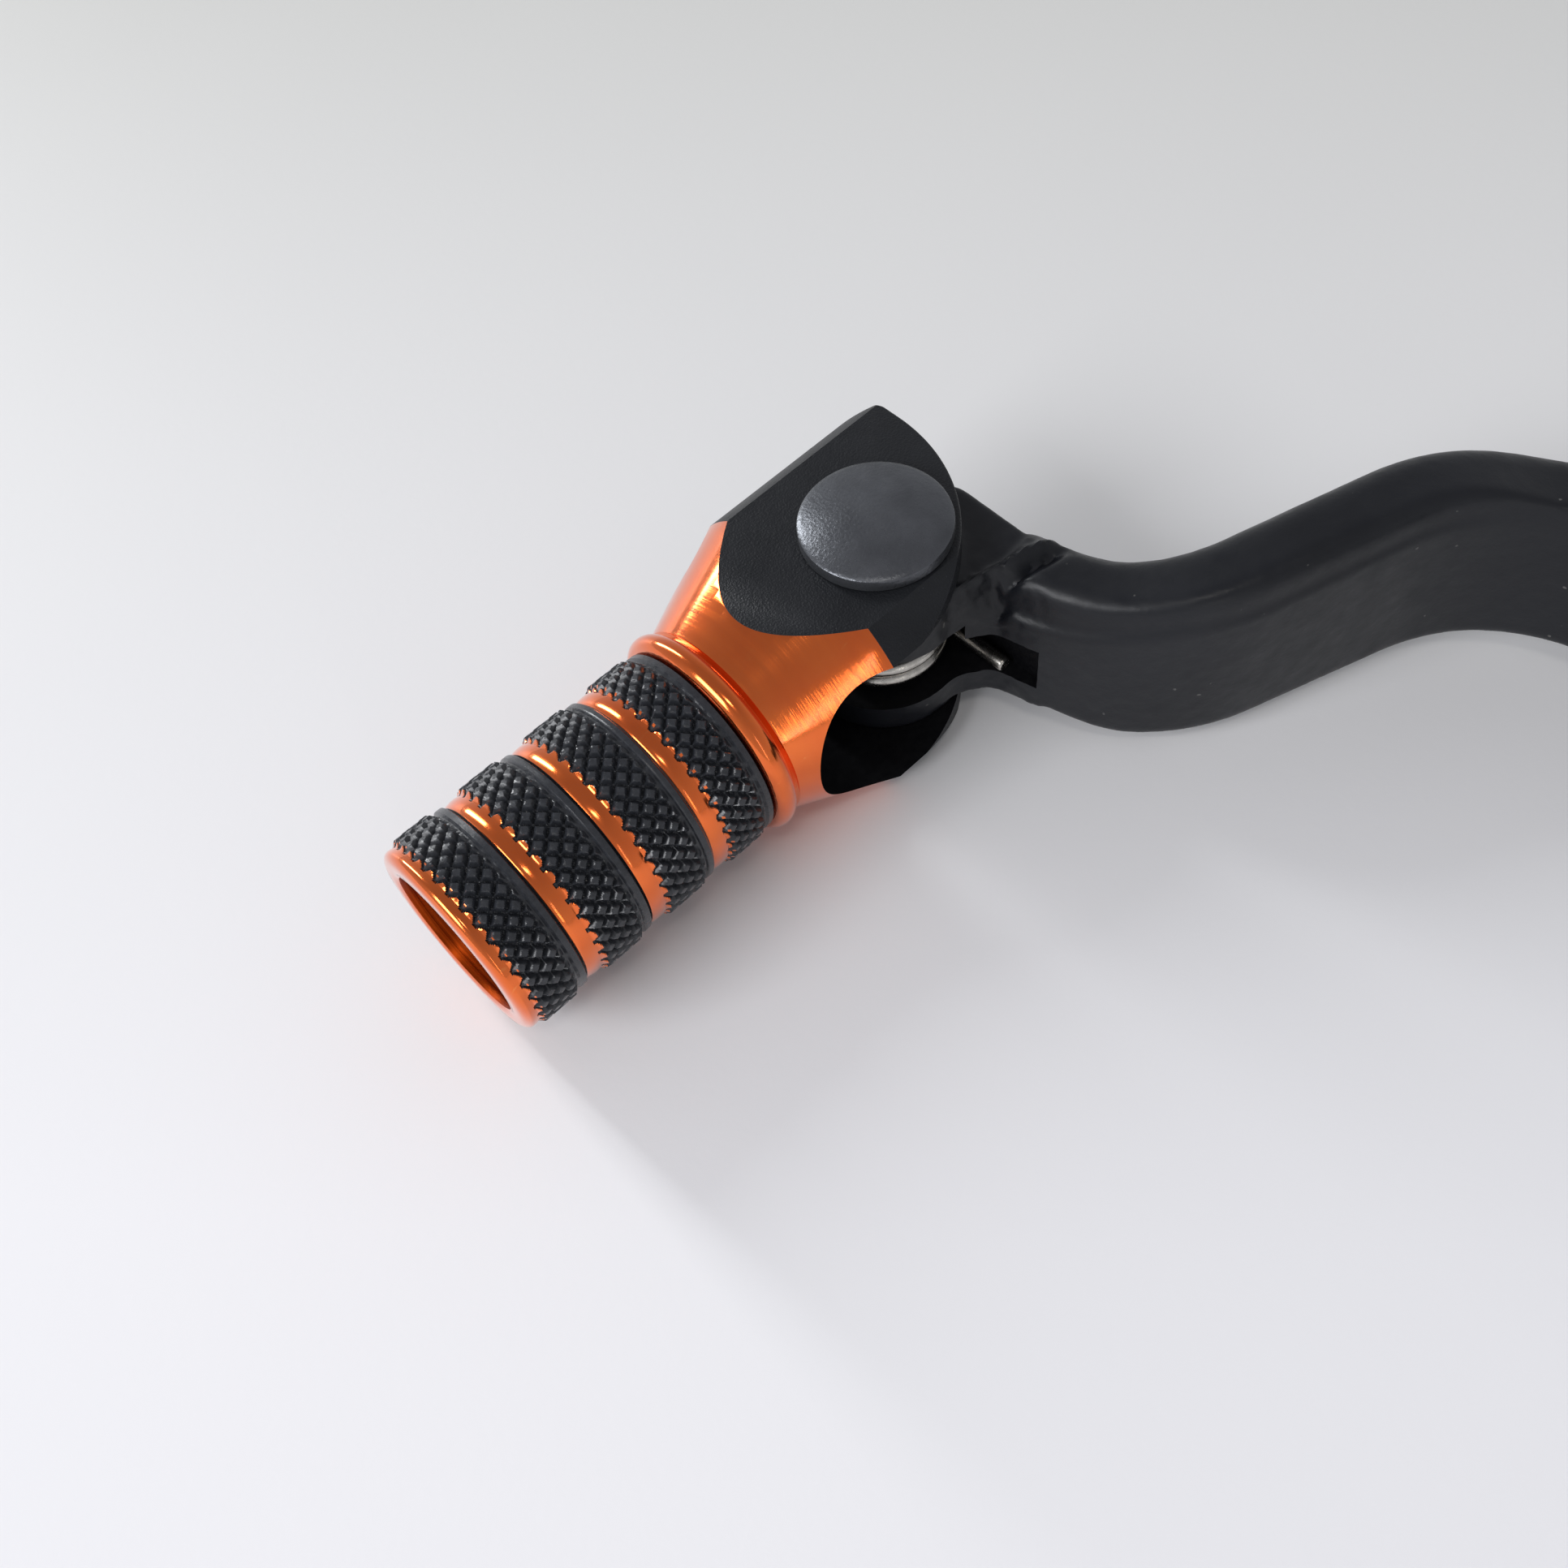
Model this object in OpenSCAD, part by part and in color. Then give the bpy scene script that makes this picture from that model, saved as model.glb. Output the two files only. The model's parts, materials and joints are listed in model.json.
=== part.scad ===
// Folding-tip gear shift lever for an off-road motorcycle.
// Origin: centre of the splined clamp bore.  +X runs along the lever to the
// tip hinge, +Y points outboard along the splined shaft, +Z is up.

/* [Clamp boss] */
// Width of the clamp boss along the splined shaft
boss_w = 18; // [16:0.5:20]
// Outer radius of the clamp boss
boss_r = 13; // [12.5:0.25:13.5]
// Radius of the bore over the tops of its teeth
spline_r = 5.6; // [5.2:0.1:6]
// Depth of one spline groove
spline_depth = 0.5; // [0.3:0.05:0.6]
// Number of spline grooves
spline_count = 30; // [24:1:36]
// Width of the clamp slit
slit_w = 1.6; // [1.2:0.1:2]
// Distance of the pinch bolt behind the bore centre
pinch_x = 10.6; // [10:0.1:11]
// Thread radius of the pinch bolt
pinch_r = 3; // [2.5:0.25:3]

/* [Arm] */
// Distance from the splined bore to the tip pivot, along X
pivot_x = 120; // [118:0.5:124]
// Distance from the splined bore to the tip pivot, along Y
pivot_y = 42; // [41:0.5:43]
// Thickness of the forged arm at the head
arm_t = 5.8; // [5:0.1:6.5]
// Thickness of the forged arm at the boss
arm_root_t = 9; // [7:0.5:11]
// Heading of the straight stretch, measured from +X
root_angle = 3.5; // [2:0.25:5]
// Heading of the steep stretch between the two bends
joggle_angle = 70.5; // [66:0.5:74]
// Heading of the arm where it enters the head
head_angle = 13.5; // [10:0.5:16]
// Centre-line radius of the bend nearest the boss
bend_a_r = 17.5; // [16:0.5:19]
// Centre-line radius of the bend nearest the head
bend_b_r = 13.1; // [12:0.1:14]

/* [Head] */
// Height of the tip axis below the splined bore
tip_drop = 4.25; // [3.5:0.25:5]
// Radius of the two hinge lugs
lug_r = 5.9; // [5.5:0.1:6.2]
// Half height of the head
head_h = 6.2; // [6:0.05:6.25]
// Height of the spring gap
gap_h = 3.6; // [3.2:0.1:4]
// Depth of the washer seat in each lug
seat_depth = 0.3; // [0.2:0.05:0.4]

/* [Folding tip] */
// Distance of the tip axis ahead of the pivot axis
axis_offset = 1.3; // [0.8:0.1:1.6]
// Radius of the turned bar at the fork
bar_r = 10.95; // [10.5:0.05:11.2]
// Half height over the two milled flats
flat_h = 8.7; // [8.5:0.05:8.75]
// Half height of the fork slot
slot_h = 6.5; // [6.45:0.05:6.6]
// Station where the cone begins
cone_x = 6.1; // [5.5:0.1:6.5]
// Radius lost per millimetre along the cone
cone_k = 0.43; // [0.4:0.01:0.46]
// Radius over the crests of the knurled bands
knurl_r = 7.55; // [7.2:0.05:7.7]
// Spacing of the knurled bands
band_pitch = 5.5; // [5.3:0.05:5.6]
// Number of knurled bands
band_count = 4; // [3:1:4]
// Radius of the blind bore in the end of the grip
end_bore_r = 5.4; // [4.5:0.1:5.6]
// Depth of the blind bore in the end of the grip
end_bore_depth = 17; // [10:1:19]

/* [Pivot] */
// Radius of the pivot pin's shank
pin_r = 2.5; // [2:0.1:2.6]
// Radius of the pin's domed head
dome_r = 5.2; // [4.8:0.1:5.4]
// Height of the straight rim of the domed head
dome_rim = 1; // [0.8:0.1:1.2]
// Height of the dome above its rim
dome_rise = 0.9; // [0.6:0.1:1.1]
// Outer radius of the pivot sleeve
sleeve_r = 3.4; // [3.2:0.05:3.45]
// Radial running clearance of the pin in its sleeve
running_gap = 0.04; // [0.02:0.01:0.08]
// Thickness of a thrust washer
washer_t = 0.5; // [0.4:0.05:0.5]
// Outer radius of a thrust washer
washer_r = 5.4; // [5:0.1:5.4]

/* [Torsion spring] */
// Radius of the spring wire
wire_r = 0.55; // [0.45:0.05:0.6]
// Radius of the coil, measured to the middle of the wire
coil_r = 4.1; // [4.05:0.05:4.2]
// Rise of the coil in one turn
coil_pitch = 1.12; // [1.1:0.01:1.12]

/* [Hidden] */

$fn = 96;
eps = 0.01;

// Arm centre line: bend A turns outboard, bend B turns back towards +X.
bend_b_c = [113.6, 22.1];
bend_a_c = [81.2, 22.5];
bend_steps = 14;
root_run = 81;
root_point = bend_a_c + bend_a_r * [sin(root_angle), -cos(root_angle)]
    - root_run * [cos(root_angle), sin(root_angle)];
arm_blank_h = 14;
arm_overlap = 3;

// Side view of the arm: heights of its edges at the boss, the bends and the neck
boss_edge = 8.6;
arm_low = -10.65;
belly_low = -11.4;
bend_top = 4.2;
waist_top = 2.6;
neck_inset = 0.15;
neck_low = -head_h - tip_drop + neck_inset;
neck_top = head_h - tip_drop - neck_inset;

// Clamp: block behind the bore, and the flat that the washer sits on
block_back = 6.4;
block_h = 15;
block_w = 19;
seat_z = 8.5;
seat_r = 6;
bolt_clearance = 0.25;
washer_clearance = 0.2;
pinch_washer_r = 5.6;
pinch_washer_t = 1;
bolt_low = -9;
bolt_seat = seat_z + pinch_washer_t;
bolt_head_r = 4.9;
bolt_head_t = 4;
bolt_socket_r = 2.9;
bolt_socket_z = 11;

// V grooves of the splined bore: where each starts inside the bore, and half its width there
groove_foot = 0.4;
groove_half = 0.55;

// Grip stations along the tip axis
cone_end_x = 14;
neck_r = 7.1;
ridge_x = 15;
ridge_r = 0.95;
band_x0 = 16.1;
rim_w = 0.7;
rim_r = 7.25;
band_w = 3.7;
groove_r = 6.95;
lip_r = 7;
tip_end_x = band_x0 + (band_count - 1) * band_pitch + band_w + 1.05;

// Fork end: an arc off the pivot centre leaves one square corner
fork_end_x = -8.35;
cam_c = [5.4, -4.8];
cam_r = cam_c[0] - fork_end_x;

// Fork stop: the square half of the lugs meets the round end of the slot
stop_x = 7.4;

// Spring: two and a quarter turns, and a straight leg off each end of the coil
spring_turns = 2.25;
spring_low = -3.05;
spring_top = spring_low + coil_pitch * spring_turns;
arm_leg = 8;
tip_leg = 14.5;
leg_hole_r = wire_r + 0.25;
gap_back = -5.05;

spring_steps = 24;

// Retaining screw and the clearances of the small hinge parts
screw_head_r = 4;
screw_head_t = 1.1;
screw_r = 1.5;
screw_up = 7;
screw_recess = 0.05;
screw_socket_r = 1.2;
screw_socket_depth = 0.9;
seat_clearance = 0.15;
fit_clearance = 0.1;

// Local frame of the folding tip: x along the grip, y towards the boss, z up
module at_tip() {
    translate([pivot_x + axis_offset, pivot_y, -tip_drop])
        rotate([0, 0, 90])
            children();
}

// Local frame of the pivot: the same directions, with the origin on the hinge axis
module at_pivot() {
    at_tip()
        translate([0, axis_offset, 0])
            children();
}

// A disc or ring between two heights
module ring(r_out, r_in, z0, z1) {
    translate([0, 0, z0])
        linear_extrude(z1 - z0)
            difference() {
                circle(r_out);
                circle(r_in);
            }
}

// Point on a bend's edge where the arm has heading h; side is 1 inboard and -1 outboard
function on_a(h, side) = bend_a_c + (bend_a_r + side * arm_t / 2) * [sin(h), -cos(h)];
function on_b(h, side) = bend_b_c - (bend_b_r - side * arm_t / 2) * [sin(h), -cos(h)];

// One edge of the arm seen from above, from inside the boss to inside the head
function arm_edge(side) = concat(
    [root_point + side * arm_root_t / 2 * [sin(root_angle), -cos(root_angle)]],
    [for (i = [0 : bend_steps]) on_a(root_angle + i * (joggle_angle - root_angle) / bend_steps, side)],
    [for (i = [0 : bend_steps]) on_b(joggle_angle - i * (joggle_angle - head_angle) / bend_steps, side)],
    [on_b(head_angle, side) + arm_overlap * [cos(head_angle), sin(head_angle)]]);

function reversed(list) = [for (i = [1 : len(list)]) list[len(list) - i]];

// The arm seen from above, as a tall blank
module arm_plan() {
    translate([0, 0, -arm_blank_h])
        linear_extrude(2 * arm_blank_h)
            polygon(concat(arm_edge(1), reversed(arm_edge(-1))));
}

// The arm seen from the side: deepest under the bend nearest the head
module arm_side() {
    translate([0, 60, 0])
        rotate([90, 0, 0])
            linear_extrude(80)
                polygon([[0, -boss_edge], [30, -9.8], [70, arm_low], [94, arm_low], [100, belly_low],
                         [104, belly_low], [109, neck_low], [118, neck_low], [118, neck_top],
                         [106, neck_top], [97, bend_top], [91, waist_top], [84, waist_top],
                         [60, 4], [0, boss_edge - 2]]);
}

// Head outline: round lugs, a square stop corner and the shoulder into the arm
module head_plan() {
    translate([0, axis_offset])
        circle(lug_r);
    translate([0, axis_offset - lug_r])
        square([stop_x, lug_r]);
    polygon([[0, 6.6], [-3.4, 8.6], [-4.4, 12.5], [-10, 14], [-9.2, 11], [-8.5, 8], [-8.5, 0],
             [-5.7, -0.6], [0, 0]]);
}

// Splined bore: a round bore with V grooves between its teeth
module spline_cut() {
    rotate([90, 0, 0]) {
        cylinder(r = spline_r, h = boss_w + 2, center = true);
        for (i = [0 : spline_count - 1])
            rotate([0, 0, (i + 0.5) * 360 / spline_count])
                linear_extrude(boss_w + 2, center = true)
                    polygon([[spline_r - groove_foot, -groove_half], [spline_r + spline_depth, 0],
                             [spline_r - groove_foot, groove_half]]);
    }
}

module boss_solid() {
    rotate([90, 0, 0])
        cylinder(r = boss_r, h = boss_w, center = true);
    translate([-pinch_x - block_back, -block_h / 2, -block_w / 2])
        cube([pinch_x + block_back, block_h, block_w]);
}

module boss_cuts() {
    spline_cut();
    translate([-pinch_x - 8, -boss_w, -slit_w / 2])
        cube([pinch_x + 8, 2 * boss_w, slit_w]);
    translate([-pinch_x, 0, 0])
        cylinder(r = pinch_r + bolt_clearance, h = 12);
    translate([-pinch_x, 0, -12])
        cylinder(r = pinch_r, h = 12 + eps);
    translate([-pinch_x, 0, seat_z])
        cylinder(r = seat_r, h = 6);
}

module head_cuts() {
    at_tip() {
        translate([gap_back, -20, -gap_h])
            cube([40, 32, gap_h]);
        translate([0, axis_offset, 0]) {
            cylinder(r = sleeve_r, h = 30, center = true);
            translate([0, 0, head_h - seat_depth])
                cylinder(r = washer_r + seat_clearance, h = 2);
            translate([0, 0, -head_h + seat_depth - 2])
                cylinder(r = washer_r + seat_clearance, h = 2);
        }
    }
}

// Forged arm with its clamp boss and hinge head, one piece
module lever_arm() {
    color("#1d1f21")
        difference() {
            union() {
                intersection() {
                    arm_plan();
                    arm_side();
                }
                boss_solid();
                at_tip()
                    translate([0, 0, -head_h])
                        linear_extrude(2 * head_h)
                            head_plan();
            }
            boss_cuts();
            head_cuts();
        }
}

// Outline of one knurled band with its stepped rim, from the groove before it
function band_profile(x) = [
    [groove_r, x - 0.9], [rim_r - 0.25, x], [rim_r, x + 0.1], [rim_r, x + rim_w],
    [knurl_r, x + rim_w + 0.15], [knurl_r, x + band_w - 0.25], [knurl_r - 0.45, x + band_w]
];

// The turned bar as one revolved outline: [radius, station]
module turned_bar() {
    bands = [for (i = [0 : band_count - 1]) each band_profile(band_x0 + i * band_pitch)];
    rotate([90, 0, 90])
        rotate_extrude()
            polygon(concat([[0, fork_end_x - 3], [bar_r, fork_end_x - 3], [bar_r, cone_x],
                            [bar_r - cone_k * (cone_end_x - cone_x), cone_end_x],
                            [neck_r, cone_end_x + 0.2]],
                           bands,
                           [[lip_r, tip_end_x - 0.85], [lip_r - 0.25, tip_end_x - 0.3],
                            [lip_r - 0.9, tip_end_x],
                            [0, tip_end_x]]));
    translate([ridge_x, 0, 0])
        rotate([90, 0, 90])
            rotate_extrude()
                translate([neck_r + 0.15, 0])
                    circle(r = ridge_r, $fn = 32);
}

// Fork outline from above: the off-centre arc and its square corner
module fork_plan() {
    intersection() {
        translate(cam_c)
            circle(cam_r);
        translate([-20, cam_c[1]])
            square(40);
    }
    translate([fork_end_x, -20])
        square([60, 20 + cam_c[1]]);
    translate([cam_c[0], -20])
        square([60, 40]);
}

// Folding tip: fork, cone and knurled grip turned and milled from one bar
module folding_tip() {
    color("#f26a1b")
        at_tip()
            difference() {
                intersection() {
                    turned_bar();
                    translate([-20, -20, -flat_h])
                        cube([80, 40, 2 * flat_h]);
                    translate([0, 0, -20])
                        linear_extrude(40)
                            fork_plan();
                }
                translate([cone_x, 0, 0])
                    rotate([90, 0, 0])
                        cylinder(r = slot_h, h = 40, center = true);
                translate([-20, -20, -slot_h])
                    cube([20 + cone_x, 40, 2 * slot_h]);
                translate([0, axis_offset, -12])
                    cylinder(r = pin_r, h = 30);
                translate([0, axis_offset, -flat_h - 1])
                    cylinder(r = screw_head_r + fit_clearance, h = 1 + screw_head_t);
                translate([tip_end_x - end_bore_depth, 0, 0])
                    rotate([0, 90, 0])
                        cylinder(r = end_bore_r, h = end_bore_depth + 1);
                translate([8, axis_offset - coil_r, spring_top])
                    rotate([0, 90, 0])
                        cylinder(r = leg_hole_r, h = tip_leg + 1 - 8);
            }
}

// Pivot pin: a domed cap head above the upper ear, tapped from below
module pivot_pin() {
    dome_sphere_r = (dome_r * dome_r + dome_rise * dome_rise) / (2 * dome_rise);
    color("#26282b")
        at_pivot()
            difference() {
                union() {
                    translate([0, 0, -flat_h + screw_head_t])
                        cylinder(r = pin_r, h = 2 * flat_h - screw_head_t + eps);
                    translate([0, 0, flat_h])
                        cylinder(r = dome_r, h = dome_rim);
                    intersection() {
                        translate([0, 0, flat_h + dome_rim + dome_rise - dome_sphere_r])
                            sphere(dome_sphere_r);
                        translate([0, 0, flat_h + dome_rim - eps])
                            cylinder(r = dome_r, h = 3);
                    }
                }
                translate([0, 0, -flat_h])
                    cylinder(r = screw_r, h = screw_up + 2);
            }
}

// Hardened sleeve through both lugs, which the pin turns in
module pivot_sleeve() {
    color("silver")
        at_pivot()
            ring(sleeve_r, pin_r + running_gap, -head_h + seat_depth, head_h - seat_depth);
}

module upper_washer() {
    color("gainsboro")
        at_pivot()
            ring(washer_r, pin_r + fit_clearance, head_h - seat_depth, head_h - seat_depth + washer_t);
}

module lower_washer() {
    color("gainsboro")
        at_pivot()
            ring(washer_r, pin_r + fit_clearance, -head_h + seat_depth - washer_t, -head_h + seat_depth);
}

// Route of the spring wire about the hinge axis: arm leg, rising coil, tip leg
function on_coil(u) = [-coil_r * cos(360 * u), -coil_r * sin(360 * u), spring_low + coil_pitch * u];
function spring_path() = concat(
    [[-coil_r, arm_leg, spring_low]],
    [for (i = [0 : spring_steps * spring_turns]) on_coil(i / spring_steps)],
    [[tip_leg, -coil_r, spring_top]]);

// A round wire along a path whose direction stays close to level
module wire(path, r, sides = 8) {
    n = len(path);
    rings = [for (i = [0 : n - 1])
        let(t = path[min(i + 1, n - 1)] - path[max(i - 1, 0)], d = t / norm(t),
            s = cross([0, 0, 1], d), side = s / norm(s), up = cross(d, side))
        for (k = [0 : sides - 1])
            path[i] + r * (cos(k * 360 / sides) * side + sin(k * 360 / sides) * up)];
    skin = [for (i = [0 : n - 2]) for (k = [0 : sides - 1])
        let(a = i * sides + k, b = i * sides + (k + 1) % sides)
        [a, a + sides, b + sides, b]];
    caps = [[for (k = [0 : sides - 1]) k],
            [for (k = [0 : sides - 1]) n * sides - 1 - k]];
    polyhedron(rings, concat(skin, caps), convexity = 8);
}

module torsion_spring() {
    color("lightsteelblue")
        at_pivot()
            wire(spring_path(), wire_r);
}

// Socket screw that draws the pin up against the lower ear
module retaining_screw() {
    color("dimgray")
        at_pivot()
            difference() {
                union() {
                    translate([0, 0, -flat_h + screw_recess])
                        cylinder(r = screw_head_r, h = screw_head_t - screw_recess);
                    translate([0, 0, -flat_h + screw_recess])
                        cylinder(r = screw_r, h = screw_up);
                }
                translate([0, 0, -flat_h - eps])
                    cylinder(r = screw_socket_r, h = screw_socket_depth, $fn = 6);
            }
}

module pinch_washer() {
    color("silver")
        translate([-pinch_x, 0, 0])
            ring(pinch_washer_r, pinch_r + washer_clearance, seat_z, bolt_seat);
}

// Pinch bolt with a socket cap head, threaded into the lower half of the clamp
module pinch_bolt() {
    color("silver")
        translate([-pinch_x, 0, 0])
            difference() {
                union() {
                    translate([0, 0, bolt_low])
                        cylinder(r = pinch_r, h = bolt_seat - bolt_low + eps);
                    translate([0, 0, bolt_seat])
                        cylinder(r = bolt_head_r, h = bolt_head_t);
                }
                translate([0, 0, bolt_socket_z])
                    cylinder(r = bolt_socket_r, h = bolt_head_t, $fn = 6);
            }
}

lever_arm();
folding_tip();
pivot_pin();
pivot_sleeve();
upper_washer();
lower_washer();
torsion_spring();
retaining_screw();
pinch_bolt();
pinch_washer();
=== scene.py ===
"""Looks of a folding-tip gear shift lever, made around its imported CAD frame.

Every shape is worked out in millimetres and turned into metres as its mesh is made.  The tip's own
frame has x along the grip, y towards the clamp boss and z up along the hinge pin.
"""
import cmath
import json
import math

import bpy
import numpy as np
from mathutils import Matrix, Vector, noise


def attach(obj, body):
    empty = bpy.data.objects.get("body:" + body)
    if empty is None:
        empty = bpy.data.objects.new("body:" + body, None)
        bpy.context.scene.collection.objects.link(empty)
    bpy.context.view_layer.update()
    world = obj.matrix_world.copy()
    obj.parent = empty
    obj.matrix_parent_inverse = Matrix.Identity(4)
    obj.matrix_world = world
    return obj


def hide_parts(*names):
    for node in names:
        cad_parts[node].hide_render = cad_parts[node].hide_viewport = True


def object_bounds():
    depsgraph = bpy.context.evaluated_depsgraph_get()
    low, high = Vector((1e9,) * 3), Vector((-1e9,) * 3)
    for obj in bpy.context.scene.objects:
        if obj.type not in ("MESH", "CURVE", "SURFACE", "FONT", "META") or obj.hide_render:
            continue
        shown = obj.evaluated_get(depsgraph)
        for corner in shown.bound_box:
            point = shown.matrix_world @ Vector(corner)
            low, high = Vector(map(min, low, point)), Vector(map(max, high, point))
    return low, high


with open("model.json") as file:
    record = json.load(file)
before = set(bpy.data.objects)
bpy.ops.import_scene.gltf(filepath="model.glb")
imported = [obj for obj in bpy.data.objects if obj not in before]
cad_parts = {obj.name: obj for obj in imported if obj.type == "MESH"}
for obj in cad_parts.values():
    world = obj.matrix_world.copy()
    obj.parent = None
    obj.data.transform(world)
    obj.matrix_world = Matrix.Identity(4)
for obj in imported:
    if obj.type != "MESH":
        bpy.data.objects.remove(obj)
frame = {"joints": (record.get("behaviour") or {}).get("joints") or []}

CAD_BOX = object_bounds()
MM = 0.001
HINGE_POINT = Vector(frame["joints"][0]["pos_m"]) / MM
FLOOR_Z = CAD_BOX[0].z

# ---------------------------------------------------------------------------
# Sizes shared with the CAD parts, in millimetres
# ---------------------------------------------------------------------------
AXIS_OFFSET = 1.3

BOSS_R = 13
BOSS_W = 18
SPLINE_R = 5.6
SPLINE_DEPTH = 0.5
SPLINE_COUNT = 30
SLIT_W = 1.6
PINCH_X = 10.6
PINCH_R = 3

ARM_T = 5.8
ARM_ROOT_T = 9
ROOT_ANGLE = math.radians(3.5)
JOGGLE_ANGLE = math.radians(70.5)
HEAD_ANGLE = math.radians(13.5)
BEND_A_C = Vector((81.2, 22.5))
BEND_A_R = 17.5
BEND_B_C = Vector((113.6, 22.1))
BEND_B_R = 13.1
ROOT_RUN = 81

HEAD_H = 6.2
LUG_R = 5.9
GAP_H = 3.6
SEAT_DEPTH = 0.3

BAR_R = 10.95
FLAT_H = 8.7
SLOT_H = 6.5
CONE_X = 6.1
CONE_K = 0.43
CONE_END = 14.0
FORK_END = -8.35
CAM_C = (5.4, -4.8)
BAND_X0 = 16.1
BAND_PITCH = 5.5
BAND_COUNT = 4
BAND_W = 3.7
GROOVE_R = 6.95
KNURL_R = 7.54
END_BORE_R = 5.4
END_BORE_DEPTH = 17
TIP_END = 37.35

PIN_R = 2.5
SCREW_R = 4.0
SEAT_R = 4.1
DOME_R = 5.2
DOME_RIM = 1.0
DOME_RISE = 0.9
SLEEVE_R = 3.4
SLEEVE_BORE = 2.54
WASHER_T = 0.5
WASHER_R = 5.4

WIRE_R = 0.55
COIL_R = 4.1
COIL_PITCH = 1.12
COIL_TURNS = 2.25
COIL_LOW = -3.05
ARM_LEG = 8
TIP_LEG = 14.5

# ---------------------------------------------------------------------------
# Frames: each turns local millimetres into the shared frame's millimetres
# ---------------------------------------------------------------------------
QUARTER = math.pi / 2
HINGE = Matrix.Translation(HINGE_POINT) @ Matrix.Rotation(QUARTER, 4, "Z")
TIP = HINGE @ Matrix.Translation((0, -AXIS_OFFSET, 0))
ORIGIN = Matrix.Identity(4)
X_TO_Z = Matrix.Rotation(-QUARTER, 4, "Y")
X_TO_Y = Matrix.Rotation(QUARTER, 4, "Z")
PINCH = Matrix.Translation((-PINCH_X, 0, 0))


# ---------------------------------------------------------------------------
# Outlines
# ---------------------------------------------------------------------------
def rounded(corners, steps=5):
    """A closed outline from (x, y, radius) corners, each corner turned into an arc."""
    out = []
    count = len(corners)
    for i, (x, y, radius) in enumerate(corners):
        here = complex(x, y)
        before = complex(*corners[i - 1][:2]) - here
        after = complex(*corners[(i + 1) % count][:2]) - here
        if radius == 0:
            out.append((x, y))
            continue
        half = abs(cmath.phase(after / before)) / 2
        reach = min(radius / math.tan(half), 0.49 * abs(before), 0.49 * abs(after))
        bisector = before / abs(before) + after / abs(after)
        centre = here + bisector / abs(bisector) * reach / math.cos(half)
        start = here + before / abs(before) * reach - centre
        turn = cmath.phase((here + after / abs(after) * reach - centre) / start)
        for k in range(steps + 1):
            point = centre + start * cmath.exp(1j * turn * k / steps)
            out.append((point.real, point.imag))
    return out


def arc(centre, radius, start, end, steps):
    """Points on an arc, with its angles in degrees."""
    out = []
    for k in range(steps + 1):
        angle = math.radians(start + (end - start) * k / steps)
        out.append((centre[0] + radius * math.cos(angle), centre[1] + radius * math.sin(angle)))
    return out


def shrunk(outline, amount):
    """The outline moved inwards by the same amount everywhere."""
    area = sum(a[0] * b[1] - b[0] * a[1] for a, b in zip(outline, outline[1:] + outline[:1]))
    side = 1 if area > 0 else -1
    out = []
    count = len(outline)
    for i in range(count):
        a = Vector(outline[i - 1])
        p = Vector(outline[i])
        b = Vector(outline[(i + 1) % count])
        along = ((p - a).normalized() + (b - p).normalized()).normalized()
        inward = Vector((-along.y, along.x)) * side
        bend = max(inward.dot(Vector((-(b - p).y, (b - p).x)).normalized() * side), 0.3)
        out.append(tuple(p + inward * amount / bend))
    return out


# ---------------------------------------------------------------------------
# Meshes
# ---------------------------------------------------------------------------
def make(name, points, faces, place, materials, face_slots=None):
    """A mesh object from local millimetre points."""
    co = np.array(points, float) @ np.array(place.to_3x3()).T + np.array(place.translation)
    mesh = bpy.data.meshes.new(name)
    mesh.from_pydata((co * MM).tolist(), [], faces)
    for material in materials:
        mesh.materials.append(material)
    if face_slots is not None:
        mesh.polygons.foreach_set("material_index", face_slots)
    mesh.validate()
    mesh.update()
    obj = bpy.data.objects.new(name, mesh)
    bpy.context.scene.collection.objects.link(obj)
    return obj


def stacked(rings, closed_ends=True):
    """Points and faces of a tube through rings of equal length; its ends are flat caps."""
    count = len(rings[0])
    points = [p for ring in rings for p in ring]
    faces = []
    for i in range(len(rings) - 1):
        for j in range(count):
            k = (j + 1) % count
            faces.append((i * count + j, i * count + k, (i + 1) * count + k, (i + 1) * count + j))
    if closed_ends:
        faces.append(tuple(range(count))[::-1])
        faces.append(tuple(range(len(points) - count, len(points))))
    return points, faces


def prism(name, outline, low, high, place, materials, bevel=0.0, steps=3):
    """An outline raised along local z, with its top and bottom edges rounded."""
    area = sum(a[0] * b[1] - b[0] * a[1] for a, b in zip(outline, outline[1:] + outline[:1]))
    if area < 0:
        outline = outline[::-1]
    levels = [(low, 0.0), (high, 0.0)]
    if bevel:
        turns = [k * QUARTER / steps for k in range(steps + 1)]
        lower = [(low + bevel * (1 - math.sin(a)), bevel * (1 - math.cos(a))) for a in turns[::-1]]
        upper = [(high - bevel * (1 - math.sin(a)), bevel * (1 - math.cos(a))) for a in turns]
        levels = lower + upper
    rings = []
    for z, inset in levels:
        flat = shrunk(outline, inset) if inset else outline
        rings.append([(x, y, z) for x, y in flat])
    points, faces = stacked(rings)
    return make(name, points, faces, place, materials)


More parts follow.
